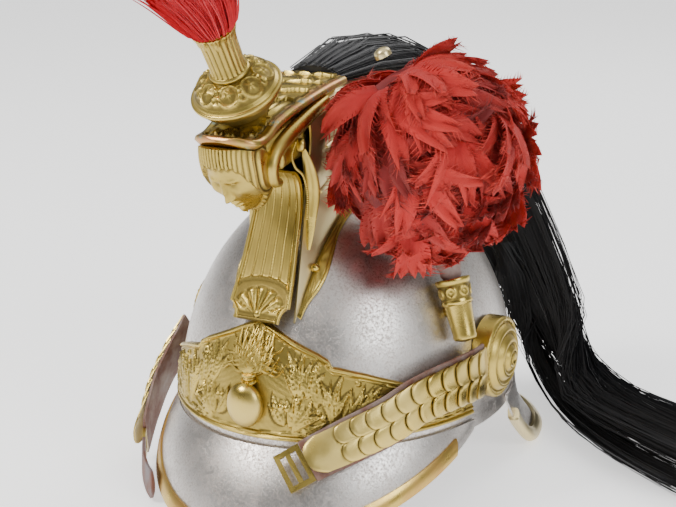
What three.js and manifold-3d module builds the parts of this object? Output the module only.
// A heavy cavalry helmet with its crest, plume, mane and chin scales.
// Millimetres, +Z up. The helmet's front looks along -Y and its wearer's left is +X.
// It stands on the tip of its visor and on the lip of its neck guard, on the plane z = 0.
// While the pieces are made, x = 0 and y = 0 are the middle of the skull.

import * as THREE from "three";
import { mergeVertices } from "three/addons/utils/BufferGeometryUtils.js";
import Module from "manifold-3d";

// Driving dimensions
const FIT_GAP = 0.3; // kept between pieces that touch
const STEEL_WALL = 1.4;
const BRASS_WALL = 1;
const LEATHER_THICKNESS = 2.2;

const BROW_HEIGHT = 52; // the skull's widest plane, above the surface
const SKULL_HALF_WIDTH = 95;
const SKULL_HALF_LENGTH = 115;
const SKULL_RISE = 126; // apex above the widest plane
const SKULL_RIM_DROP = 8; // rim below the widest plane
const SKULL_COLUMNS = 28;
const SKULL_ROWS = 8;
const SEAT_DEPTH = 6; // how deep a piece reaches before it is cut to the skull

const VISOR_REACH = 27; // how far its tip stands out from the skull
const VISOR_INSET = 1; // its side edges, inside the skull's widest line
const VISOR_HALF_WIDTH = SKULL_HALF_WIDTH - VISOR_INSET;
const VISOR_REAR = 26; // where its sides meet the skull, in front of the middle
const VISOR_BULGE = 3;
const NECK_REACH = 33; // how far the lip stands behind the skull
const NECK_HALF_WIDTH = SKULL_HALF_WIDTH;
const NECK_START = 16; // where its sides leave the skull, behind the middle
const SEAM_DROP = 2; // seams of visor and neck guard on the skull, below the brow plane
const SEAM_GAP = 0.45; // at those seams, whose facets are longer than the skull's
const NECK_FLARE = 1.7; // how late it turns outwards
const EDGE_HEIGHT = 1.4; // free edges above the surface, before they are worn flat
const EDGE_SHARE = 0.08; // part of a plate next to its edge that the binding follows
const BINDING_RANGE = [0.06, 0.94]; // part of an edge that its binding covers
const BINDING_WIDTH = 9.5;
const BINDING_THICKNESS = 1.4;
const NECK_BINDING_WIDTH = 7;
const NECK_BINDING_THICKNESS = 2.6;

const BAND_HALF_TURN = 76; // degrees from the middle of the front
const BAND_FOOT = 2; // its lower edge above the brow plane
const BAND_PEAK = 65; // its highest point above the brow plane
const BAND_BORDER = 1.3; // height of its rolled border
const BAND_BORDER_WIDTH = 4.5;
const BAND_COLUMNS = 20;
const BAND_GROUND_ROWS = 3;
const BAND_SEAT = 0.45; // gap under the band, whose facets are longer than the skull's
const SINK = 0.6; // how deep raised work reaches into its ground
const FLAME_COUNT = 7;
const FLAME_FAN = 62; // degrees from upright to the outer flame
const LEAF_SHARES = [0.15, 0.95, 0.85, 0.08]; // width along a leaf
const GRENADE_RADIUS = 10.7;
const GRENADE_HEIGHT = 21; // its middle above the brow plane
const GRENADE_SQUASH = [1, 0.62, 1.17]; // of its ball, across, out and up
const FLAME_WIDTHS = [0.42, 0.72, 0.5, 0.1]; // along a flame, as shares of the grenade's radius
const FLAME_SWAY = 1.2;
const FLAME_RELIEF = 2.1;
const LEAF_LENGTH = 21;
const LEAF_WIDTH = 8;
const LEAF_RELIEF = 1.5;

const COMB_HALF_WIDTH = 19;
const COMB_HEIGHT = 184; // ridge above the brow plane
const FLUTED_TOP_HALF = 14;
const FLUTED_FOOT_HALF = 19;
const FLUTE_DEPTH = 1.4;
const FLUTE_COUNT = 5;
const CAP_HALF_WIDTH = 20;
const CAP_THICKNESS = 6;
const CAP_REACH = 139; // its front edge, in front of the middle
const CAP_REAR = 44;
const CAP_LOWEST = 0.88; // the lowest part of the cap, as a share of the comb's height
const MASK_HALF_WIDTH = 16.5;
const MASK_HALF_HEIGHT = 28;
const MASK_HALF_DEPTH = 16;
const MASK_LEAN = 33; // degrees that it looks down
const MASK_PLACE = -1.05; // its middle, as a share of the skull's half length
const MASK_LEVEL = 0.83; // its middle, as a share of the comb's height
const MASK_STEPS = [14, 9]; // facets round it and from below to above
const VOLUTE_RADIUS = 3.8;
const BOSS_PLACE = [-0.95, 0.842]; // place and height of the oval boss in the volute, as shares

const HOLDER_PLACE = 1.046; // the dish's middle, as a share of the skull's half length
const DISH_RISE = 20; // the dish's middle above the cap
const DISH_RADIUS = 23;
const TUBE_RADIUS = 8.6;
const TUBE_LENGTH = 27.5;
const HOLDER_LEAN = 31.5; // degrees forward from upright
const HOLDER_SIDES = 12;
const SEAT_STEPS = 60; // taken to find where its foot meets the cap
const TUFT_LENGTH = 56;
const TUFT_SPREAD = 24;
const TUFT_LOCKS = 9;

const ROSETTE_RADIUS = 23.5;
const ROSETTE_HEIGHT = 28; // its middle above the brow plane
const ROSETTE_DEPTH = 14;
const ROSETTE_SIDES = 14;
const LEFT_SCALES = 11; // before the long last one
const RIGHT_SCALES = 6;
const SCALE_PITCH = 9;
const SCALE_OVERLAP = 3;
const SCALE_LOBE = 2.6; // how far its two lobes stand out
const SCALE_WALL = 0.8;
const LEATHER_MARGIN = 1.6; // leather that shows beside the scales
const SCALE_WIDTH_TOP = 28;
const SCALE_WIDTH_END = 20;
const SCALE_SLOPE = 0.17; // rise of a scale for each millimetre of its length
const SCALE_DOME = 1.6;
const LAST_SCALE = 23;
const LAST_SCALE_ROUNDING = 7.5;
const SCALE_STEPS = [2, 4]; // facets along and across a scale
const STRAP_ROOT = 0.2; // where it leaves the rosette's side, as a share of the rosette's depth
const BUCKLE_LENGTH = 15;
const BUCKLE_WIDTH = 22;
const BUCKLE_BAR = 2.8;
const BUCKLE_THICKNESS = 2;
const LOOP_LENGTH = 9;
const TONGUE_LENGTH = 50;
const TONGUE_WIDTH = 17;

const SOCKET_TOP_RADIUS = 9;
const SOCKET_FOOT_RADIUS = 6;
const SOCKET_WALL = 1;
const BRACKET_REACH = 16; // before it is cut to the skull
const BRACKET_HALF = 2.5;
const BRACKET_PLACE = [0.25, 0.55]; // its lower and upper edge along the socket
const SOCKET_SIDES = 14;
const SOCKET_FLOOR = 0.3; // where the bore starts, along the socket
const STEM_RADIUS = 4.5;
const STEM_SHARES = [0.33, 1.1, 2]; // along the socket, before the plume cuts it off
const PLUME_PLACE = [0.8, -0.47, 0.83]; // its middle, as shares of the skull's and comb's sizes
const PLUME_TURN = 28; // degrees from the X axis to its broad side
const PLUME_TIER = 36; // degrees from one tier of feathers to the next
const PLUME_RUFFLE = 0.05;
const PLUME_CLEARANCE = 2;
const PLUME_SEAT = 0.008; // gap to the stem, as a share of its size
const PLUME_HALF_WIDTH = 64;
const PLUME_HALF_HEIGHT = 66;
const PLUME_HALF_DEPTH = 44;
const PLUME_FEATHERS = 15;

const MANE_LOCKS = 4;
const MANE_LOCK_RADIUS = 8.5;
const MANE_SPREAD = 33;
const MANE_LOCK_OVERLAP = 1.7; // width of a lock, so that it joins the next
const MANE_LOCK_MARGIN = 1;
const MANE_TIP = 0.3; // size of a lock at its tip
const MANE_ON_COMB = 4; // rows of the table below that lie along the comb

// Materials
const paint = (color, roughness, metalness) =>
  new THREE.MeshStandardMaterial({ color, roughness, metalness });
const steel = () => paint(0xb9b2aa, 0.38, 1);
const brass = () => paint(0xb49a4c, 0.32, 1);
const leather = () => paint(0x4a3226, 0.75, 0);
const redHair = () => paint(0xb81f2a, 0.8, 0);
const blackHair = () => paint(0x141414, 0.5, 0);

const root = new THREE.Group();
const wasm = await Module();
wasm.setup();

const V = (x, y, z) => new THREE.Vector3(x, y, z);
const radians = THREE.MathUtils.degToRad;
const mix = THREE.MathUtils.lerp;
const range = (count, make) => Array.from({ length: count }, (_, i) => make(i));

// Reads a table of rows [at, value, value...] at any place, with straight lines between its rows.
function read(table, at) {
  const last = table.length - 1;
  const i = Math.min(Math.max(table.findIndex((row) => row[0] >= at), 1), last);
  const after = at > table[last][0] ? last : i;
  const before = table[after - 1];
  const share = THREE.MathUtils.clamp((at - before[0]) / (table[after][0] - before[0]), 0, 1);
  return before.map((value, column) => mix(value, table[after][column], share));
}

// Collects triangles by their corners and gives one closed geometry that faces outwards.
class Facets {
  constructor() {
    this.corners = [];
  }

  triangle(a, b, c) {
    this.corners.push(a, b, c);
  }

  quad(a, b, c, d) {
    this.triangle(a, b, c);
    this.triangle(a, c, d);
  }

  geometry() {
    const loose = new THREE.BufferGeometry().setFromPoints(this.corners);
    const merged = mergeVertices(loose, 1e-3);
    const place = merged.attributes.position;
    const at = (i) => V().fromBufferAttribute(place, i);
    const index = merged.index.array;
    const kept = [];
    let volume = 0;
    for (let i = 0; i < index.length; i += 3) {
      const [a, b, c] = index.slice(i, i + 3);
      if (a === b || b === c || c === a) continue;
      kept.push(a, b, c);
      volume += at(a).dot(at(b).cross(at(c)));
    }
    if (volume < 0) kept.reverse();
    return new THREE.BufferGeometry().setAttribute("position", place).setIndex(kept);
  }
}

// A wall between two faces, each a function of u and v from 0 to 1.
function wall(outer, inner, columns, rows, closed = false) {
  const facets = new Facets();
  const share = (i) => (closed && i === columns ? 0 : i / columns);
  const grid = (face) => range(columns + 1, (i) => range(rows + 1, (j) => face(share(i), j / rows)));
  const out = grid(outer);
  const back = grid(inner);
  for (let i = 0; i < columns; i++) {
    for (let j = 0; j < rows; j++) {
      facets.quad(out[i][j], out[i + 1][j], out[i + 1][j + 1], out[i][j + 1]);
      facets.quad(back[i][j], back[i][j + 1], back[i + 1][j + 1], back[i + 1][j]);
    }
    facets.quad(out[i][0], back[i][0], back[i + 1][0], out[i + 1][0]);
    facets.quad(out[i][rows], out[i + 1][rows], back[i + 1][rows], back[i][rows]);
  }
  if (!closed) {
    for (let j = 0; j < rows; j++) {
      facets.quad(out[0][j], out[0][j + 1], back[0][j + 1], back[0][j]);
      facets.quad(out[columns][j], back[columns][j], back[columns][j + 1], out[columns][j + 1]);
    }
  }
  return facets.geometry();
}

// The same face moved along its normal, for the back of a wall.
function moved(face, distance) {
  const step = 1e-3;
  return (u, v) => {
    const u0 = Math.min(u, 1 - step);
    const v0 = Math.min(v, 1 - step);
    const along = face(u0 + step, v0).sub(face(u0, v0));
    const across = face(u0, v0 + step).sub(face(u0, v0));
    return face(u, v).addScaledVector(along.cross(across).normalize(), distance);
  };
}

// A solid through rings of as many points each, with its ends closed or joined.
function loft(rings, joined = false) {
  const facets = new Facets();
  const count = rings[0].length;
  const pairs = joined ? rings.length : rings.length - 1;
  for (let i = 0; i < pairs; i++) {
    const next = rings[(i + 1) % rings.length];
    range(count, (j) => facets.quad(rings[i][j], next[j], next[(j + 1) % count], rings[i][(j + 1) % count]));
  }
  if (!joined) {
    const last = rings[rings.length - 1];
    const middle = (ring) => ring.reduce((sum, p) => sum.add(p), V(0, 0, 0)).divideScalar(count);
    range(count, (j) => facets.triangle(middle(rings[0]), rings[0][j], rings[0][(j + 1) % count]));
    range(count, (j) => facets.triangle(middle(last), last[(j + 1) % count], last[j]));
  }
  return facets.geometry();
}

// A ring of points round an axis: sizes in millimetres along its two side vectors.
function ring(centre, side, up, radiusSide, radiusUp, count, shape = () => 1) {
  return range(count, (i) => {
    const angle = (i / count) * 2 * Math.PI;
    const size = shape(angle);
    return centre
      .clone()
      .addScaledVector(side, radiusSide * size * Math.cos(angle))
      .addScaledVector(up, radiusUp * size * Math.sin(angle));
  });
}

function plainOf(geometry) {
  geometry.deleteAttribute("normal");
  geometry.deleteAttribute("uv");
  return geometry;
}

function solidOf(geometry) {
  const plain = mergeVertices(geometry.index ? geometry.toNonIndexed() : geometry, 1e-3);
  const vertProperties = plain.attributes.position.array;
  const triVerts = new Uint32Array(plain.index.array);
  return new wasm.Manifold(new wasm.Mesh({ numProp: 3, vertProperties, triVerts }));
}

function geometryOf(solid) {
  const mesh = solid.getMesh();
  const position = new THREE.BufferAttribute(mesh.vertProperties.slice(), 3);
  return new THREE.BufferGeometry()
    .setAttribute("position", position)
    .setIndex(Array.from(mesh.triVerts));
}

// A geometry with each of its points moved by a function.
function bent(geometry, move) {
  const facets = new Facets();
  const corners = range(geometry.index.count, (i) =>
    move(V().fromBufferAttribute(geometry.attributes.position, geometry.index.getX(i))),
  );
  for (let i = 0; i < corners.length; i += 3) facets.triangle(...corners.slice(i, i + 3));
  return facets.geometry();
}

const fuse = (parts) => geometryOf(parts.map(solidOf).reduce((sum, part) => sum.add(part)));

function add(name, geometry, material) {
  const mesh = new THREE.Mesh(geometry, material);
  mesh.name = name;
  root.add(mesh);
}

// The skull: half an egg on a short upright rim.
// A point on its outside at a turn from the front in degrees and a height above the brow plane.
function skullPoint(turn, height, lift = 0) {
  const level = Math.max(height, 0) / (SKULL_RISE + lift);
  const size = Math.sqrt(Math.max(0, 1 - level * level));
  const x = (SKULL_HALF_WIDTH + lift) * size * Math.sin(radians(turn));
  const y = -(SKULL_HALF_LENGTH + lift) * size * Math.cos(radians(turn));
  return V(x, y, BROW_HEIGHT + height);
}

// Its height over a place, a lift away from its outside.
function skullTop(x, y, lift = 0) {
  const across = x / (SKULL_HALF_WIDTH + lift);
  const along = y / (SKULL_HALF_LENGTH + lift);
  return BROW_HEIGHT + (SKULL_RISE + lift) * Math.sqrt(Math.max(0, 1 - across * across - along * along));
}

// Its outside, a lift away, over the whole turn: v runs from the rim to the apex.
function skullFace(lift) {
  const rim = 1 / SKULL_ROWS;
  const height = (v) =>
    v < rim
      ? mix(-SKULL_RIM_DROP, 0, v / rim)
      : (SKULL_RISE + lift) * Math.sin(((v - rim) / (1 - rim)) * (Math.PI / 2));
  return (u, v) => skullPoint(u * 360, height(v), lift);
}

function makeSkull() {
  add("skull", wall(skullFace(0), skullFace(-STEEL_WALL), SKULL_COLUMNS, SKULL_ROWS, true), steel());
}

// A piece cut to sit on the skull with the usual gap.
function seatedOnSkull(geometry) {
  const outer = skullFace(FIT_GAP);
  const middle = (u, v) => V(0, 0, outer(u, v).z);
  const filled = wall(outer, middle, SKULL_COLUMNS, SKULL_ROWS, true);
  return geometryOf(solidOf(geometry).subtract(solidOf(filled)));
}

// The visor. Its u runs from the right end round the front to the left end, its v from skull to edge.
const visorEndTurn = () => THREE.MathUtils.radToDeg(Math.acos(VISOR_REAR / SKULL_HALF_LENGTH));

function visorEdge(u) {
  const angle = radians(mix(-90, 90, u));
  const depth = SKULL_HALF_LENGTH + VISOR_REACH - VISOR_REAR;
  const share = Math.cos(angle);
  const x = VISOR_HALF_WIDTH * Math.sin(angle);
  return V(x, -VISOR_REAR - depth * share, mix(BROW_HEIGHT - SKULL_RIM_DROP, EDGE_HEIGHT, share));
}

function visorPoint(u, v) {
  const inner = skullPoint(mix(-visorEndTurn(), visorEndTurn(), u), -SEAM_DROP, SEAM_GAP + STEEL_WALL);
  const edge = visorEdge(u);
  const outward = V(edge.x / 2, (edge.y + VISOR_REAR) / 2, SKULL_HALF_WIDTH / 2).normalize();
  const bulge = VISOR_BULGE * Math.sin(Math.PI * v) * Math.sin(Math.PI * u);
  return inner.lerp(edge, v).addScaledVector(outward, bulge);
}

// Directions on a plate: over its free edge and out of its face, and its length from seam to edge.
function plateFrame(face, u, v) {
  const step = 1e-3;
  const u0 = THREE.MathUtils.clamp(u, step, 1 - step);
  const along = face(u0 + step, v).sub(face(u0 - step, v)).normalize();
  const slope = face(u0, v).sub(face(u0, v - EDGE_SHARE));
  const length = slope.length() / EDGE_SHARE;
  const out = slope.cross(along).normalize();
  return { down: along.clone().cross(out).normalize(), out, length };
}

// A strip folded over the free edge of a plate, with a slot that the plate stands in.
function foldedEdge(face, thickness, width, from, to, steps, rows) {
  const outside = STEEL_WALL / 2 + FIT_GAP + thickness;
  // Columns: distance over the edge, distance out of the plate's middle
  const section = [
    [-width, outside],
    [-thickness / 2, outside],
    [thickness * 0.8, outside * 0.6],
    [thickness * 0.8, -outside * 0.6],
    [-thickness / 2, -outside],
    [-width, -outside],
  ];
  const rings = range(steps + 1, (i) => {
    const u = mix(from, to, i / steps);
    const { length } = plateFrame(face, u, 1);
    return section.map(([over, side]) => {
      const v = Math.max(1 + Math.min(over, 0) / length, EDGE_SHARE * 2);
      const { down, out } = plateFrame(face, u, v);
      return face(u, v)
        .addScaledVector(down, Math.max(over, 0))
        .addScaledVector(out, side - STEEL_WALL / 2);
    });
  });
  const stretch = 1 + FIT_GAP / plateFrame(face, 0.5, 1).length;
  const longer = (u, v) => face(u, v * stretch);
  const slot = wall(moved(longer, -FIT_GAP), moved(longer, STEEL_WALL + FIT_GAP), steps, rows);
  return flattened(geometryOf(solidOf(loft(rings)).subtract(solidOf(slot))));
}

// Cut off at a height above the surface: worn flat where it stands, or kept just clear of it.
function flattened(geometry, height = 0) {
  const box = new THREE.Box3().setFromBufferAttribute(geometry.attributes.position);
  const size = box.getSize(V());
  const middle = box.getCenter(V());
  const below = plainOf(new THREE.BoxGeometry(size.x * 2, size.y * 2, size.z));
  below.translate(middle.x, middle.y, height - size.z / 2);
  return geometryOf(solidOf(geometry).subtract(solidOf(below)));
}

function makeVisor() {
  const [columns, rows] = [17, 3];
  add("visor", wall(visorPoint, moved(visorPoint, STEEL_WALL), columns, rows), steel());
  const [from, to] = BINDING_RANGE;
  const strip = foldedEdge(visorPoint, BINDING_THICKNESS, BINDING_WIDTH, from, to, columns, rows);
  add("visor_binding", strip, brass());
}

// The neck guard. Its u runs from its left end round the back to its right end.
// Columns: half width, depth behind its start, and drop, as shares; evenly spaced from the back.
const NECK_EDGE = [
  [0, 1, 1],
  [0.36, 0.96, 1],
  [0.67, 0.84, 1],
  [0.89, 0.64, 1],
  [0.98, 0.4, 0.97],
  [0.965, 0.24, 0.63],
  [1, 0, 0],
];

const neckStartTurn = () => THREE.MathUtils.radToDeg(Math.acos(-NECK_START / SKULL_HALF_LENGTH));

const neckEdge = new THREE.CatmullRomCurve3(
  range(2 * NECK_EDGE.length - 1, (i) => {
    const fromBack = i - (NECK_EDGE.length - 1);
    const [width, depth, drop] = NECK_EDGE[Math.abs(fromBack)];
    return V(
      -Math.sign(fromBack) * width * NECK_HALF_WIDTH,
      NECK_START + depth * (SKULL_HALF_LENGTH + NECK_REACH - NECK_START),
      mix(BROW_HEIGHT - SEAM_DROP, EDGE_HEIGHT + NECK_BINDING_THICKNESS / 2, drop),
    );
  }),
);

function neckPoint(u, v) {
  const turn = mix(neckStartTurn(), 360 - neckStartTurn(), u);
  const top = skullPoint(turn, -SEAM_DROP, SEAM_GAP + STEEL_WALL);
  const edge = neckEdge.getPoint(u);
  const flare = v ** mix(1, NECK_FLARE, Math.sin(Math.PI * u));
  return V(mix(top.x, edge.x, flare), mix(top.y, edge.y, flare), mix(top.z, edge.z, v));
}

function makeNeckGuard() {
  const [columns, rows] = [17, 3];
  add("neck_guard", wall(neckPoint, moved(neckPoint, STEEL_WALL), columns, rows), steel());
  const [from, to] = BINDING_RANGE;
  const strip = foldedEdge(neckPoint, NECK_BINDING_THICKNESS, NECK_BINDING_WIDTH, from, to, columns, rows);
  add("neck_guard_binding", strip, brass());
}

// Raised work that lies on the skull.
// A tapered ridge along a path of [turn, height] pairs, with a width for each, all fused to a ground.
function ridge(path, widths, lift, relief) {
  const rings = path.map(([turn, height], i) => {
    const before = path[Math.max(i - 1, 0)];
    const after = path[Math.min(i + 1, path.length - 1)];
    const along = skullPoint(...after, lift).sub(skullPoint(...before, lift)).normalize();
    const centre = skullPoint(turn, height, lift);
    const out = skullPoint(turn, height, lift + 1).sub(centre).normalize();
    const side = along.cross(out).normalize();
    const half = widths[i] / 2;
    const crest = relief * Math.min(1, widths[i] / Math.max(...widths) + 0.3);
    return [
      centre.clone().addScaledVector(side, -half).addScaledVector(out, -SINK),
      centre.clone().addScaledVector(out, crest),
      centre.clone().addScaledVector(side, half).addScaledVector(out, -SINK),
    ];
  });
  return loft(rings);
}

// A leaf from its stalk along a heading in degrees, 0 to the left and 90 up.
function leafRidge(turn, height, heading, length, lift) {
  const perDegree = radians(1) * SKULL_HALF_LENGTH;
  const path = range(LEAF_SHARES.length, (i) => {
    const away = (length * i) / (LEAF_SHARES.length - 1);
    const aside = (away * Math.cos(radians(heading))) / perDegree;
    return [turn + aside, height + away * Math.sin(radians(heading))];
  });
  return ridge(path, LEAF_SHARES.map((share) => share * LEAF_WIDTH), lift, LEAF_RELIEF);
}

// The brass band over the brow.
// Columns: turn from the middle of the front, height of its upper edge above its lower one, as shares.
const BAND_TOP = [
  [0, 1],
  [0.075, 0.94],
  [0.19, 0.84],
  [0.3, 0.75],
  [0.35, 0.69],
  [0.375, 0.64],
  [0.5, 0.575],
  [0.62, 0.49],
  [0.72, 0.41],
  [0.85, 0.31],
  [1, 0.22],
];
// Columns: distance across the border as a share of its width, relief as a share of its height
const BORDER = [
  [0, 0.5],
  [0.4, 1],
  [1, 0],
];
// Columns: turn and height of the stalk, heading in degrees, length, as shares where they are sizes
const LEAVES = [
  [0.2, 0.16, 62, 1.1],
  [0.27, 0.13, 24, 1],
  [0.22, 0.42, 80, 1.1],
  [0.36, 0.3, 66, 1],
  [0.42, 0.2, 20, 1.1],
  [0.45, 0.34, 48, 1],
  [0.58, 0.22, 30, 1],
  [0.6, 0.12, 8, 0.9],
];

const bandTop = (share) => mix(BAND_FOOT, BAND_PEAK, read(BAND_TOP, Math.abs(share))[1]);

function makeBand() {
  const rows = 2 * BORDER.length + BAND_GROUND_ROWS - 1;
  const ground = BAND_SEAT + BRASS_WALL;
  const place = (lift, raised) => (u, v) => {
    const share = mix(-1, 1, u);
    const row = Math.round(v * rows);
    const top = bandTop(share);
    const [across, relief] = BORDER[Math.min(row, rows - row, BORDER.length - 1)];
    const inward = across * BAND_BORDER_WIDTH;
    const rise = THREE.MathUtils.clamp((row - BORDER.length + 1) / (BAND_GROUND_ROWS + 1), 0, 1);
    const between = mix(BAND_FOOT + BAND_BORDER_WIDTH, top - BAND_BORDER_WIDTH, rise);
    const border = row < BORDER.length ? BAND_FOOT + inward : top - inward;
    const height = row >= BORDER.length && row <= rows - BORDER.length ? between : border;
    return skullPoint(share * BAND_HALF_TURN, height, lift + raised * relief * BAND_BORDER);
  };
  const strip = wall(place(ground, 1), place(BAND_SEAT, 0), BAND_COLUMNS, rows);
  const leaves = [-1, 1].flatMap((side) =>
    LEAVES.map(([turn, height, heading, length]) => {
      const start = side * turn * BAND_HALF_TURN;
      const from = mix(BAND_FOOT, BAND_PEAK, height);
      const way = side > 0 ? heading : 180 - heading;
      return leafRidge(start, from, way, length * LEAF_LENGTH, ground);
    }),
  );
  add("front_band", fuse([strip, ...leaves]), brass());
}

// The flaming grenade on the band: a ball under a collar, and a fan of flames.
function makeGrenade() {
  const lift = BAND_SEAT + BRASS_WALL + BAND_BORDER + FIT_GAP + SINK;
  const size = GRENADE_RADIUS;
  const collarHeight = GRENADE_HEIGHT + size * 1.3;
  const middle = skullPoint(0, GRENADE_HEIGHT, lift + size * GRENADE_SQUASH[1] * 0.7);
  const neck = skullPoint(0, collarHeight, lift + size * 0.25);
  const ball = new THREE.SphereGeometry(size, 10, 7).scale(...GRENADE_SQUASH);
  ball.translate(middle.x, middle.y, middle.z);
  const collar = new THREE.CylinderGeometry(size * 0.32, size * 0.36, size, 8);
  collar.rotateX(Math.PI / 2).translate(neck.x, neck.y, neck.z);
  const reach = BAND_PEAK - collarHeight - BAND_BORDER_WIDTH;
  const last = FLAME_WIDTHS.length - 1;
  const flames = range(FLAME_COUNT, (i) => {
    const share = mix(-1, 1, i / (FLAME_COUNT - 1));
    const heading = radians(90 - share * FLAME_FAN);
    const length = reach * mix(1, 0.8, Math.abs(share));
    const path = FLAME_WIDTHS.map((width, j) => {
      const away = (length * j) / last;
      const sway = j % 2 ? FLAME_SWAY : -FLAME_SWAY;
      const turn = (away * Math.cos(heading) + sway) / (radians(1) * SKULL_HALF_LENGTH);
      return [turn, collarHeight + away * Math.sin(heading)];
    });
    return ridge(path, FLAME_WIDTHS.map((width) => width * size), lift, FLAME_RELIEF);
  });
  add("grenade", fuse([plainOf(ball), plainOf(collar), ...flames]), brass());
}

// The comb of the crest.
// Columns: place on the skull, place of the waist, its height, place of the ridge, its height,
// half width at the skull, at the waist and at the ridge. Places are shares of the skull's half
// length, heights of the comb's height and widths of its half width.
const COMB = [
  [-0.845, -0.67, 0.71, -0.67, 1, 1, 0.8, 0.95],
  [-0.7, -0.56, 0.73, -0.56, 1, 1.05, 0.84, 1.15],
  [-0.5, -0.42, 0.78, -0.44, 1, 1.05, 0.84, 1.1],
  [-0.27, -0.23, 0.84, -0.23, 1, 1.05, 0.86, 1.05],
  [0.03, 0.03, 0.86, 0.03, 1, 1.05, 0.86, 1],
  [0.33, 0.35, 0.84, 0.33, 0.975, 1.05, 0.86, 0.9],
  [0.6, 0.64, 0.75, 0.59, 0.89, 1, 0.82, 0.8],
  [0.8, 0.86, 0.6, 0.82, 0.75, 0.9, 0.74, 0.65],
  [0.92, 0.985, 0.45, 0.97, 0.56, 0.7, 0.6, 0.5],
  [0.94, 1.02, 0.41, 1, 0.49, 0.1, 0.1, 0.1],
];

// The underside of the cap, a gap below it.
const underCap = (y) => BROW_HEIGHT + capLevel(y) - CAP_THICKNESS - FIT_GAP;

// A piece cut to lie under the cap with the usual gap.
function trimmedToCap(geometry) {
  const places = [-2 * CAP_REACH, ...CAP.map(([share]) => mix(-CAP_REACH, -CAP_REAR, share))];
  places[places.length - 1] += FIT_GAP;
  const half = 3 * CAP_HALF_WIDTH;
  const rings = places.map((y) => {
    const [low, high] = [underCap(y), underCap(y) + COMB_HEIGHT];
    return [V(-half, y, low), V(half, y, low), V(half, y, high), V(-half, y, high)];
  });
  return geometryOf(solidOf(geometry).subtract(solidOf(loft(rings))));
}

function combSection(row, inward) {
  const [base, waist, waistHeight, ridge, ridgeHeight, baseHalf, waistHalf, ridgeHalf] = row;
  const half = (share) => share * COMB_HALF_WIDTH - inward;
  const y = (share) => share * SKULL_HALF_LENGTH;
  const z = (share) => BROW_HEIGHT + share * COMB_HEIGHT;
  const covered = y(ridge) < -CAP_REAR;
  const top = (covered ? Math.min(z(ridgeHeight), underCap(y(ridge))) : z(ridgeHeight)) - inward;
  const foot = skullTop(half(baseHalf), y(base)) - SEAT_DEPTH;
  const side = [
    [half(baseHalf), y(base), foot],
    [half(waistHalf), y(waist), z(waistHeight)],
    [half(ridgeHalf), y(ridge), mix(z(waistHeight), top, 0.75)],
    [half(ridgeHalf) * 0.7, y(ridge), top],
  ].map((p) => V(...p));
  const mirrored = side.map((p) => V(-p.x, p.y, p.z)).reverse();
  return [...side, V(0, y(ridge), top), ...mirrored];
}

function makeComb() {
  const across = combSection(COMB[0], 0).length - 1;
  const face = (inward) => {
    const sections = COMB.map((row) => combSection(row, inward));
    return (u, v) => sections[Math.round(u * (COMB.length - 1))][Math.round(v * across)].clone();
  };
  const sides = wall(face(0), face(BRASS_WALL), COMB.length - 1, across);
  add("crest_comb", trimmedToCap(seatedOnSkull(sides)), brass());
}

// The cap over the front of the crest, with its thick rolled rim.
// Columns: place from its front to its rear, half width, level of the rim above the brow plane.
const CAP = [
  [0, 0.3, 0.929],
  [0.02, 0.62, 0.927],
  [0.05, 0.84, 0.923],
  [0.09, 0.96, 0.92],
  [0.16, 1, 0.924],
  [0.27, 1, 0.95],
  [0.4, 1.02, 0.973],
  [0.55, 1.08, 0.995],
  [0.7, 1.12, 1.012],
  [0.85, 1.15, 1.026],
  [1, 1.12, 1.033],
];
const CAP_CROWN = 0.85;
// Columns: distance from the middle, height, as shares of its half width and thickness
const CAP_SECTION = [
  [-1, 0.5],
  [-0.9, 1],
  [-0.72, 0.75],
  [0, CAP_CROWN],
  [0.72, 0.75],
  [0.9, 1],
  [1, 0.5],
  [0.85, 0],
  [-0.85, 0],
];

const capShare = (y) => (y + CAP_REACH) / (CAP_REACH - CAP_REAR);
const capLevel = (y) => read(CAP, capShare(y))[2] * COMB_HEIGHT;

function makeCap() {
  const rings = CAP.map(([share, width, level]) =>
    CAP_SECTION.map(([across, rise]) =>
      V(
        across * width * CAP_HALF_WIDTH,
        mix(-CAP_REACH, -CAP_REAR, share),
        BROW_HEIGHT + level * COMB_HEIGHT - (1 - rise) * CAP_THICKNESS,
      ),
    ),
  );
  add("crest_cap", loft(rings), brass());
}

// The fluted plate down the front of the comb.
// Columns: place, height, change from the foot's half width to the top's.
const FLUTED = [
  [-0.922, 0.35, 0],
  [-0.886, 0.395, 0.1],
  [-0.82, 0.478, 0.35],
  [-0.765, 0.565, 0.6],
  [-0.715, 0.652, 0.8],
  [-0.698, 0.717, 0.95],
  [-0.715, 0.755, 1],
  [-0.75, 0.778, 1],
];

function makeFlutedPlate() {
  const rows = FLUTED.length - 1;
  const columns = FLUTE_COUNT * 2;
  const face = (back) => (u, v) => {
    const row = Math.round(v * rows);
    const before = FLUTED[Math.max(row - 1, 0)];
    const after = FLUTED[Math.min(row + 1, rows)];
    const rise = (after[1] - before[1]) * COMB_HEIGHT;
    const lean = (after[0] - before[0]) * SKULL_HALF_LENGTH;
    const out = V(0, -rise, lean).normalize();
    const [place, height, narrow] = FLUTED[row];
    const half = mix(FLUTED_FOOT_HALF, FLUTED_TOP_HALF, narrow);
    const flute = FLUTE_DEPTH * Math.abs(Math.sin(Math.PI * FLUTE_COUNT * u));
    const middle = V(mix(-half, half, u), place * SKULL_HALF_LENGTH, BROW_HEIGHT + height * COMB_HEIGHT);
    return middle.addScaledVector(out, -flute - back);
  };
  add("crest_front_plate", wall(face(0), face(BRASS_WALL), columns, rows), brass());
}

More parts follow.
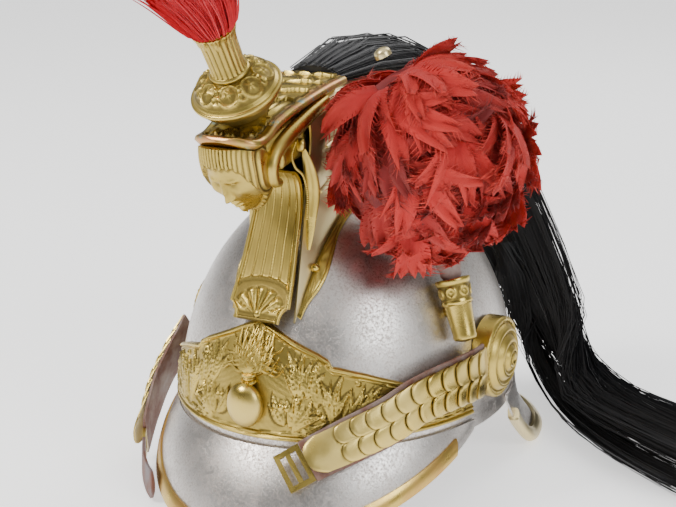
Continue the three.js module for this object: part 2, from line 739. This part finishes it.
// The prow under the cap, with a volute on each side, and the mask at its front.
// Columns: place, half width, underside, as shares.
const PROW = [
  [-0.674, 0.8, 0.81],
  [-0.765, 0.88, 0.81],
  [-0.85, 0.94, 0.805],
  [-0.94, 0.96, 0.8],
  [-1.01, 0.94, 0.805],
  [-1.07, 0.82, 0.825],
];
// Columns: place, height of the rib that curls round the boss, as shares
const VOLUTE = [
  [-0.72, 0.945],
  [-0.8, 0.925],
  [-0.89, 0.902],
  [-0.975, 0.87],
  [-1.025, 0.825],
  [-1.01, 0.785],
  [-0.955, 0.768],
];
// Columns: distance from the middle as a share of the comb's half width, size of the boss there
const BOSS = [
  [0.6, 1],
  [1.02, 1],
  [1.16, 0.6],
];
// Columns: turn and tilt of a feature's middle, its two sizes in degrees, its height as a share
const FACE = [
  [0, 24, 40, 9, 0.05],
  [-22, 9, 12, 8, -0.07],
  [22, 9, 12, 8, -0.07],
  [0, 0, 6, 14, 0.16],
  [0, -9, 9, 5, 0.08],
  [0, -27, 14, 6, 0.05],
  [0, -47, 13, 10, 0.09],
  [0, 52, 80, 14, 0.08],
];

function maskPoint(turn, tilt) {
  const bump = ([turnAt, tiltAt, wide, high, size]) =>
    size * Math.exp(-(((turn - turnAt) / wide) ** 2) - ((tilt - tiltAt) / high) ** 2);
  const relief = 1 + FACE.map(bump).reduce((sum, value) => sum + value, 0);
  const level = Math.cos(radians(tilt)) * relief;
  const side = MASK_HALF_WIDTH * level * Math.sin(radians(turn));
  const forward = MASK_HALF_DEPTH * level * Math.cos(radians(turn));
  const up = MASK_HALF_HEIGHT * relief * Math.sin(radians(tilt));
  const lean = radians(MASK_LEAN);
  const y = -forward * Math.cos(lean) - up * Math.sin(lean);
  const z = up * Math.cos(lean) - forward * Math.sin(lean);
  return V(side, y + MASK_PLACE * SKULL_HALF_LENGTH, z + BROW_HEIGHT + MASK_LEVEL * COMB_HEIGHT);
}

function makeCrestHead() {
  const prow = PROW.map(([place, width, under]) => {
    const y = place * SKULL_HALF_LENGTH;
    const low = BROW_HEIGHT + under * COMB_HEIGHT;
    const high = underCap(y) + FIT_GAP;
    const centre = V(0, y, (low + high) / 2);
    const square = (angle) => (Math.abs(Math.cos(angle)) ** 4 + Math.abs(Math.sin(angle)) ** 4) ** -0.25;
    return ring(centre, V(1, 0, 0), V(0, 0, 1), width * COMB_HALF_WIDTH, (high - low) / 2, 12, square);
  });
  const mask = new Facets();
  const [turns, tilts] = MASK_STEPS;
  const at = (i, j) => maskPoint(mix(-180, 180, (i % turns) / turns), mix(-90, 90, j / tilts));
  for (let i = 0; i < turns; i++) {
    range(tilts, (j) => mask.quad(at(i, j), at(i + 1, j), at(i + 1, j + 1), at(i, j + 1)));
  }
  const seen = ([place, height]) => V(0, place * SKULL_HALF_LENGTH, BROW_HEIGHT + height * COMB_HEIGHT);
  const volutes = [-1, 1].flatMap((side) => {
    const out = V(side, 0, 0);
    const rib = VOLUTE.map((row, i) => {
      const next = seen(VOLUTE[Math.min(i + 1, VOLUTE.length - 1)]);
      const forward = next.sub(seen(VOLUTE[Math.max(i - 1, 0)])).normalize();
      const centre = seen(row).addScaledVector(out, COMB_HALF_WIDTH * 0.97);
      return ring(centre, out, forward.clone().cross(out), VOLUTE_RADIUS, VOLUTE_RADIUS, 6);
    });
    const boss = BOSS.map(([reach, size]) => {
      const centre = seen(BOSS_PLACE).addScaledVector(out, COMB_HALF_WIDTH * reach);
      const [wide, high] = [VOLUTE_RADIUS * 1.1 * size, VOLUTE_RADIUS * 1.6 * size];
      return ring(centre, V(0, 1, 0), V(0, 0, 1), wide, high, 8);
    });
    return [loft(rib), loft(boss)];
  });
  add("crest_head", trimmedToCap(fuse([loft(prow), mask.geometry(), ...volutes])), brass());
}

// The flanges that hold the comb on the skull.
// Columns: place, half width beyond the comb's side, as shares.
const FLANGE = [
  [-0.83, 0.12],
  [-0.79, 0.18],
  [-0.73, 0.34],
  [-0.66, 0.4],
  [-0.59, 0.34],
  [-0.52, 0.24],
  [-0.35, 0.2],
  [0, 0.2],
  [0.3, 0.2],
  [0.6, 0.2],
  [0.78, 0.2],
];

function makeFlanges() {
  const [front, rear] = [FLANGE[0][0], FLANGE[FLANGE.length - 1][0]];
  for (const [name, side] of [["left", 1], ["right", -1]]) {
    const face = (lift) => (u, v) => {
      const [place, width] = read(FLANGE, mix(front, rear, u));
      const inner = read(COMB.map((row) => [row[0], row[5]]), place)[1] * COMB_HALF_WIDTH + FIT_GAP;
      const x = inner + v * width * COMB_HALF_WIDTH;
      const y = place * SKULL_HALF_LENGTH;
      return V(side * x, y, skullTop(x, y, lift));
    };
    add("crest_flange_" + name, wall(face(2 * FIT_GAP + BRASS_WALL), face(2 * FIT_GAP), 22, 2), brass());
  }
}

// The tuft holder: a dished cup on a foot, and a fluted tube. Its axis leans forward.
const holderLean = radians(HOLDER_LEAN);
const holderUp = V(0, -Math.sin(holderLean), Math.cos(holderLean));
const holderBack = V(0, Math.cos(holderLean), Math.sin(holderLean));
const dishPlace = -HOLDER_PLACE * SKULL_HALF_LENGTH;
const dishCentre = () => V(0, dishPlace, BROW_HEIGHT + capLevel(dishPlace) + DISH_RISE);
// Columns: radius as a share of the dish's, height as a share of the dish's radius
const CUP = [
  [0.5, -0.6],
  [0.72, -0.42],
  [0.92, -0.2],
  [1, -0.05],
  [1, 0.05],
  [0.92, 0.16],
  [0.78, 0.32],
  [0.58, 0.44],
  [0.44, 0.48],
];
// Columns: height as a share of the tube's length, radius as a share of the tube's
const TUBE = [
  [0, 1.12],
  [0.07, 1.12],
  [0.09, 1],
  [0.7, 1.04],
  [0.88, 1.1],
  [1, 1.2],
];

function makeTuftHolder() {
  const centre = dishCentre();
  const at = (height, radius) => {
    const middle = centre.clone().addScaledVector(holderUp, height);
    return ring(middle, V(1, 0, 0), holderBack, radius, radius, HOLDER_SIDES);
  };
  const cup = CUP.map(([radius, height]) => at(height * DISH_RADIUS, radius * DISH_RADIUS));
  const tubeFoot = CUP[CUP.length - 1][1] * DISH_RADIUS;
  const tube = TUBE.map(([height, radius]) => at(tubeFoot + height * TUBE_LENGTH, radius * TUBE_RADIUS));
  const capTop = (y) => BROW_HEIGHT + capLevel(y) - (1 - CAP_CROWN) * CAP_THICKNESS + 2 * FIT_GAP;
  const foot = cup[0].map((p) => {
    const onCap = p.clone();
    for (let step = 0; step < SEAT_STEPS; step++) {
      onCap.addScaledVector(holderUp, (capTop(onCap.y) - onCap.z) / 2);
    }
    return onCap;
  });
  add("tuft_holder", loft([foot, ...cup, ...tube]), brass());
}

// The red tuft: locks fused round a core, from the tube's rim upwards.
// Columns: height and radius as shares, forward droop as a share of the length.
const TUFT = [
  [0, 0.36, 0],
  [0.22, 0.74, 0.03],
  [0.5, 0.94, 0.08],
  [0.85, 1, 0.14],
  [1, 0.7, 0.17],
];

function makeTuft() {
  const tubeTop = CUP[CUP.length - 1][1] * DISH_RADIUS + TUBE_LENGTH;
  const foot = dishCentre().addScaledVector(holderUp, tubeTop + FIT_GAP);
  const lobes = (depth) => (angle) => 1 + depth * Math.cos(TUFT_LOCKS * angle);
  const rings = TUFT.map(([height, radius, droop]) => {
    const centre = foot.clone().addScaledVector(holderUp, height * TUFT_LENGTH);
    centre.addScaledVector(holderBack, -droop * TUFT_LENGTH);
    const reach = radius * TUFT_SPREAD;
    return ring(centre, V(1, 0, 0), holderBack, reach, reach, 2 * TUFT_LOCKS, lobes(0.12 * height));
  });
  add("tuft", loft(rings), redHair());
}

// The rosettes over the ears: stepped rings round a boss.
// Columns: radius and distance out of the skull, as shares.
const ROSETTE = [
  [0, 0],
  [1, 0],
  [1, 0.36],
  [0.9, 0.5],
  [0.84, 0.44],
  [0.68, 0.7],
  [0.6, 0.64],
  [0.42, 0.86],
  [0.34, 0.8],
  [0.2, 1],
  [0, 1.04],
];

const rosetteBase = () => skullPoint(90, ROSETTE_HEIGHT, FIT_GAP).x;

function makeRosettes() {
  const point = ([radius, out]) => new THREE.Vector2(radius * ROSETTE_RADIUS, out * ROSETTE_DEPTH);
  const profile = ROSETTE.map(point);
  for (const [name, side] of [["left", 1], ["right", -1]]) {
    const turned = mergeVertices(plainOf(new THREE.LatheGeometry(profile, ROSETTE_SIDES)), 1e-3);
    turned.rotateZ(-Math.PI / 2).translate(rosetteBase(), 0, BROW_HEIGHT + ROSETTE_HEIGHT);
    if (side < 0) turned.rotateZ(Math.PI);
    add("rosette_" + name, seatedOnSkull(turned), brass());
  }
}

// The chin straps: leather with brass scales, both unfastened.
// Columns: X, Y and height above the surface as shares, and upward tilt of the strap's face.
const LEFT_STRAP = [
  [1.021, -0.235, 1.52, 0],
  [0.979, -0.435, 1.52, 0],
  [0.863, -0.643, 1.44, 0.05],
  [0.758, -0.774, 1.29, 0.15],
  [0.589, -0.913, 1.115, 0.35],
  [0.442, -1.009, 0.96, 0.55],
  [0.33, -1.085, 0.83, 0.65],
];
const RIGHT_STRAP = [
  [1.045, -0.165, 1.44, 0],
  [1.085, -0.275, 1.2, 0],
  [1.126, -0.39, 0.885, 0],
  [1.116, -0.496, 0.615, 0],
  [1.084, -0.6, 0.385, 0],
  [1.03, -0.69, 0.29, 0.05],
  [0.93, -0.81, 0.215, 0.05],
  [0.8, -0.93, 0.2, 0.05],
  [0.69, -1.01, 0.2, 0.05],
];

function strapRoute(side, table) {
  const start = V(rosetteBase() + ROSETTE_DEPTH * STRAP_ROOT, 0, BROW_HEIGHT + ROSETTE_HEIGHT);
  const points = [
    start,
    ...table.map(([x, y, z]) => V(x * SKULL_HALF_WIDTH, y * SKULL_HALF_LENGTH, z * BROW_HEIGHT)),
  ];
  const tilts = [0, ...table.map((row) => row[3])];
  const faces = points.map((p, i) =>
    V(p.x / SKULL_HALF_WIDTH ** 2, p.y / SKULL_HALF_LENGTH ** 2, 0).normalize().add(V(0, 0, tilts[i])),
  );
  const mirror = (p) => V(side * p.x, p.y, p.z);
  const path = new THREE.CatmullRomCurve3(points.map(mirror));
  const facing = new THREE.CatmullRomCurve3(faces.map(mirror));
  const length = path.getLength();
  // A place on the strap: distance from the rosette's middle, across it and out of it.
  return (distance, across, out) => {
    const share = THREE.MathUtils.clamp(distance / length, 0, 1);
    const along = path.getTangentAt(share);
    const face = facing.getPoint(path.getUtoTmapping(share));
    const normal = face.addScaledVector(along, -face.dot(along)).normalize();
    const width = along.clone().cross(normal).multiplyScalar(side);
    return path
      .getPointAt(share)
      .addScaledVector(along, distance - share * length)
      .addScaledVector(width, across)
      .addScaledVector(normal, out);
  };
}

const strapStart = () => ROSETTE_RADIUS + FIT_GAP;
const scalesEnd = (count) => strapStart() + count * SCALE_PITCH + LAST_SCALE;
const scaleHalf = (distance) =>
  read([[strapStart(), SCALE_WIDTH_TOP], [scalesEnd(LEFT_SCALES), SCALE_WIDTH_END]], distance)[1] / 2;

function strapStrip(place, from, to, half, steps) {
  const face = (out) => (u, v) => place(mix(from, to, u), mix(-1, 1, v) * half(mix(from, to, u)), out);
  return wall(face(LEATHER_THICKNESS / 2), face(-LEATHER_THICKNESS / 2), steps, 1);
}

function makeScales(name, place, count) {
  const base = LEATHER_THICKNESS / 2 + FIT_GAP;
  for (let i = 0; i <= count; i++) {
    const start = strapStart() + i * SCALE_PITCH - (i ? SCALE_OVERLAP : 0);
    const end = i < count ? strapStart() + (i + 1) * SCALE_PITCH : scalesEnd(count);
    const lobe = (across) =>
      i < count ? SCALE_LOBE * Math.abs(Math.sin(Math.PI * across)) : -LAST_SCALE_ROUNDING * across ** 4;
    const face = (lift) => (u, v) => {
      const across = mix(-1, 1, v);
      const distance = start + u * (end + lobe(across) - start);
      const out = base + SCALE_SLOPE * (distance - start) + SCALE_DOME * (1 - across ** 2) + lift;
      return place(distance, across * scaleHalf(distance), out);
    };
    const plate = wall(face(SCALE_WALL), face(0), SCALE_STEPS[0], SCALE_STEPS[1]);
    add("scale_" + name + "_" + (i + 1), plate, brass());
  }
}

// A flat brass frame across a strap, with as many slots as asked.
function makeFrame(name, place, distance, length, width, slots) {
  const box = (x0, x1, across, depth) =>
    solidOf(plainOf(new THREE.BoxGeometry(x1 - x0, across, depth)).translate((x0 + x1) / 2, 0, 0));
  const slot = (length - BUCKLE_BAR * (slots + 1)) / slots;
  const cuts = range(slots, (i) => {
    const from = BUCKLE_BAR + i * (slot + BUCKLE_BAR);
    return box(from, from + slot, width - 2 * BUCKLE_BAR, 2 * BUCKLE_THICKNESS);
  });
  const flat = cuts.reduce((solid, cut) => solid.subtract(cut), box(0, length, width, BUCKLE_THICKNESS));
  add(name, bent(geometryOf(flat), (p) => place(distance + p.x, p.y, p.z)), brass());
}

function makeStraps() {
  const left = strapRoute(1, LEFT_STRAP);
  const right = strapRoute(-1, RIGHT_STRAP);
  const half = (distance) => scaleHalf(distance) + LEATHER_MARGIN;
  for (const [name, place, count] of [["left", left, LEFT_SCALES], ["right", right, RIGHT_SCALES]]) {
    add("strap_" + name, strapStrip(place, strapStart(), scalesEnd(count), half, 12), leather());
    makeScales(name, place, count);
  }
  const buckleAt = scalesEnd(LEFT_SCALES) + FIT_GAP;
  makeFrame("buckle_left", left, buckleAt, BUCKLE_LENGTH, BUCKLE_WIDTH, 2);
  const hookAt = scalesEnd(RIGHT_SCALES) + FIT_GAP;
  makeFrame("loop_right", right, hookAt, LOOP_LENGTH, TONGUE_WIDTH, 1);
  const tongueAt = hookAt + LOOP_LENGTH + FIT_GAP;
  const tongueHalf = () => TONGUE_WIDTH / 2;
  add("tongue_right", strapStrip(right, tongueAt, tongueAt + TONGUE_LENGTH, tongueHalf, 6), leather());
}

// The plume socket on the left side: a tapered tube on a bracket.
// Columns: X, Y and height above the brow plane as shares of the skull's and the comb's sizes.
const SOCKET_ENDS = [
  [0.98, -0.335, 0.262],
  [0.863, -0.296, 0.44],
];

const socketPoint = (share) => {
  const [foot, top] = SOCKET_ENDS.map(([x, y, z]) =>
    V(x * SKULL_HALF_WIDTH, y * SKULL_HALF_LENGTH, BROW_HEIGHT + z * COMB_HEIGHT),
  );
  return foot.lerp(top, share);
};

function socketRing(share, radius, count) {
  const up = socketPoint(1).sub(socketPoint(0)).normalize();
  const side = V(0, 1, 0).cross(up).normalize();
  return ring(socketPoint(share), side, up.clone().cross(side), radius, radius, count);
}

const socketRadius = (share) => mix(SOCKET_FOOT_RADIUS, SOCKET_TOP_RADIUS, share);

// Columns: place along the socket, how far its wall stands out there, as a share of the wall
const SOCKET_RINGS = [
  [0, 0.5],
  [0.6, 0],
  [0.66, 0.5],
  [0.94, 0],
  [1, 1],
];

function makeSocket() {
  const rings = SOCKET_RINGS.map(([share, out]) =>
    socketRing(share, socketRadius(share) + out * SOCKET_WALL, SOCKET_SIDES),
  );
  const bore = [SOCKET_FLOOR, 1.001].map((share) =>
    socketRing(share, socketRadius(share) - SOCKET_WALL, SOCKET_SIDES),
  );
  const inward = V(-socketPoint(0).x, -socketPoint(0).y, 0).normalize();
  const bracket = BRACKET_PLACE.map((share) => {
    const start = socketPoint(share).addScaledVector(inward, socketRadius(share) * 0.9);
    const end = socketPoint(share).addScaledVector(inward, socketRadius(share) + BRACKET_REACH);
    return [V(0, -BRACKET_HALF, 0), V(0, BRACKET_HALF, 0)].flatMap((aside, i) =>
      (i ? [end, start] : [start, end]).map((p) => p.clone().add(aside)),
    );
  });
  const tube = solidOf(loft(rings)).subtract(solidOf(loft(bore)));
  const body = geometryOf(tube.add(solidOf(loft(bracket))));
  add("plume_socket", seatedOnSkull(body), brass());
}

// The plume: feathers in tiers that hang from its tip, round and clear of the crest.
const plumeCentre = () => {
  const [x, y, z] = PLUME_PLACE;
  return V(x * SKULL_HALF_WIDTH, y * SKULL_HALF_LENGTH, BROW_HEIGHT + z * COMB_HEIGHT);
};

function plumePoint(turn, tilt, size) {
  const tier = ((90 - tilt) / PLUME_TIER) % 1;
  const lock = Math.abs(Math.cos((radians(turn) * PLUME_FEATHERS) / 2));
  const swell = size * (1 + PLUME_RUFFLE * (tier + lock * Math.cos(radians(tilt))));
  const broad = V(Math.cos(radians(PLUME_TURN)), Math.sin(radians(PLUME_TURN)), 0);
  const deep = V(-broad.y, broad.x, 0);
  const level = swell * Math.cos(radians(tilt));
  const p = plumeCentre()
    .addScaledVector(broad, PLUME_HALF_WIDTH * level * Math.cos(radians(turn)))
    .addScaledVector(deep, PLUME_HALF_DEPTH * level * Math.sin(radians(turn)))
    .add(V(0, 0, PLUME_HALF_HEIGHT * swell * Math.sin(radians(tilt))));
  const besideCap = p.z > BROW_HEIGHT + CAP_LOWEST * COMB_HEIGHT;
  const crest = besideCap ? 1.4 * CAP_HALF_WIDTH : 1.2 * COMB_HALF_WIDTH;
  p.x = Math.max(p.x, crest + PLUME_CLEARANCE);
  const high = (p.z - BROW_HEIGHT) / (SKULL_RISE + PLUME_CLEARANCE);
  const wide = p.x / (SKULL_HALF_WIDTH + PLUME_CLEARANCE);
  const long = p.y / (SKULL_HALF_LENGTH + PLUME_CLEARANCE);
  const depth = Math.hypot(high, wide, long);
  if (depth < 1) p.z = BROW_HEIGHT + (p.z - BROW_HEIGHT) / depth;
  return p;
}

function plumeBody(size) {
  const facets = new Facets();
  const [turns, tilts] = [2 * PLUME_FEATHERS, 8];
  const at = (i, j) => plumePoint(((i % turns) / turns) * 360, mix(-90, 90, j / tilts), size);
  for (let i = 0; i < turns; i++) {
    range(tilts, (j) => facets.quad(at(i, j), at(i + 1, j), at(i + 1, j + 1), at(i, j + 1)));
  }
  return facets.geometry();
}

// The stem stands on the bore's floor and ends under the plume.
function makePlume() {
  add("plume", plumeBody(1), redHair());
  const radius = Math.min(socketRadius(SOCKET_FLOOR) - SOCKET_WALL - FIT_GAP, STEM_RADIUS);
  const rings = STEM_SHARES.map((share) => socketRing(share, radius, 10));
  const stem = solidOf(loft(rings)).subtract(solidOf(plumeBody(1 + PLUME_SEAT)));
  const height = (solid) => solid.boundingBox().min[2];
  const pieces = stem.decompose().sort((a, b) => height(a) - height(b));
  add("plume_stem", geometryOf(pieces[0]), leather());
}

// The mane: locks of horsehair fused side by side, along the comb, down behind and over the surface.
// Columns: X, Y and height of the underside, spread of the locks to each side and size of a lock,
// all as shares.
const MANE = [
  [0, -0.365, 1, 0.25, 0.55],
  [0, -0.17, 1, 0.35, 0.95],
  [0.01, 0.22, 1, 0.4, 1],
  [0.04, 0.61, 0.95, 0.42, 1],
  [0.13, 0.95, 0.78, 0.6, 1.05],
  [0.28, 1.17, 0.48, 0.85, 1.05],
  [0.52, 1.3, 0.19, 0.98, 1],
  [0.82, 1.36, -0.08, 1.02, 1],
  [1.1, 1.29, -0.245, 1, 0.95],
  [1.47, 1.09, -0.283, 1.05, 0.9],
  [1.95, 0.85, -0.283, 1.1, 0.85],
  [2.42, 0.64, -0.283, 1.15, 0.75],
  [2.89, 0.43, -0.283, 1.15, 0.6],
  [3.35, 0.23, -0.283, 1.1, 0.3],
];

function makeMane() {
  const last = MANE.length - 1;
  const place = MANE.map(([x, y, z]) =>
    V(x * SKULL_HALF_WIDTH, y * SKULL_HALF_LENGTH, BROW_HEIGHT + z * COMB_HEIGHT),
  );
  const locks = range(MANE_LOCKS, (lock) => {
    const share = mix(-1, 1, lock / (MANE_LOCKS - 1));
    const odd = lock % 2;
    const tip = last - odd;
    const rings = MANE.slice(0, tip + 1).map(([, , , spread, size], i) => {
      const along = place[Math.min(i + 1, last)].clone().sub(place[Math.max(i - 1, 0)]).normalize();
      const upward = i < MANE_ON_COMB ? V(0, 0, 1) : V(0, 0.5, 1);
      const across = along.clone().cross(upward).normalize();
      const out = across.clone().cross(along);
      const reach = spread * MANE_SPREAD;
      const taper = i === tip ? MANE_TIP : 1;
      const half = (reach / MANE_LOCKS) * MANE_LOCK_OVERLAP * taper + MANE_LOCK_MARGIN;
      const thick = MANE_LOCK_RADIUS * size * (odd ? 0.85 : 1) * taper;
      const centre = place[i].clone().addScaledVector(across, share * reach);
      centre.z = Math.max(centre.z, 0) + thick + FIT_GAP;
      return ring(centre, across, out, half, thick, 5);
    });
    return loft(rings);
  });
  add("mane", flattened(fuse(locks), FIT_GAP), blackHair());
}

makeSkull();
makeVisor();
makeNeckGuard();
makeBand();
makeGrenade();
makeComb();
makeCap();
makeFlutedPlate();
makeCrestHead();
makeFlanges();
makeTuftHolder();
makeTuft();
makeRosettes();
makeStraps();
makeSocket();
makePlume();
makeMane();

// The origin is on the surface, under the middle of the whole.
const whole = new THREE.Box3().setFromObject(root);
const middle = whole.getCenter(V());
root.position.set(-middle.x, -middle.y, 0);

export default root;
